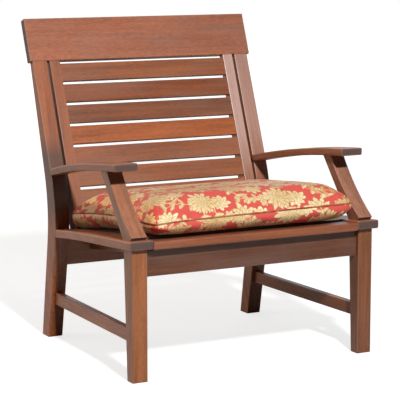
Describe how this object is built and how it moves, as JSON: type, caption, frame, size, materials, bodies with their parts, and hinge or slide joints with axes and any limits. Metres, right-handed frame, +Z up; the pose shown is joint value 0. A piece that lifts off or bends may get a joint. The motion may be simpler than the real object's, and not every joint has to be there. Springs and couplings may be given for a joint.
{
  "type": "outdoor armchair",
  "caption": "Slat-back wooden patio armchair: raked back under a broad crest, arched arms on raked struts, bowed back legs and a loose welted seat cushion.",
  "frame": {"origin": "on the floor, under the middle of the chair's bounding box", "axes": "+Z up, the chair faces -Y, +X to the right as seen from in front"},
  "size_m": [0.779, 0.7722, 0.9307],
  "materials": {
    "wood": "oiled reddish brown hardwood, satin",
    "fabric": "woven cotton print on foam, matte"
  },
  "bodies": {
    "root": {"front_leg_left": "wood", "front_leg_right": "wood", "back_post_left": "wood", "back_post_right": "wood", "front_apron": "wood", "rear_apron": "wood", "side_stretcher_left": "wood", "side_stretcher_right": "wood", "seat_side_board_left": "wood", "seat_side_board_right": "wood", "seat_front_slat": "wood", "seat_slat_1": "wood", "seat_slat_2": "wood", "seat_slat_3": "wood", "seat_slat_4": "wood", "seat_slat_5": "wood", "seat_slat_6": "wood", "seat_slat_7": "wood", "seat_rear_slat": "wood", "seat_bearer_left": "wood", "seat_bearer_right": "wood", "back_stile_left": "wood", "back_stile_right": "wood", "back_slat_1": "wood", "back_slat_2": "wood", "back_slat_3": "wood", "back_slat_4": "wood", "back_slat_5": "wood", "back_slat_6": "wood", "back_slat_7": "wood", "back_slat_8": "wood", "crest_board": "wood", "arm_left": "wood", "arm_right": "wood", "arm_strut_left": "wood", "arm_strut_right": "wood", "seat_cushion": "fabric"}
  },
  "joints": []
}
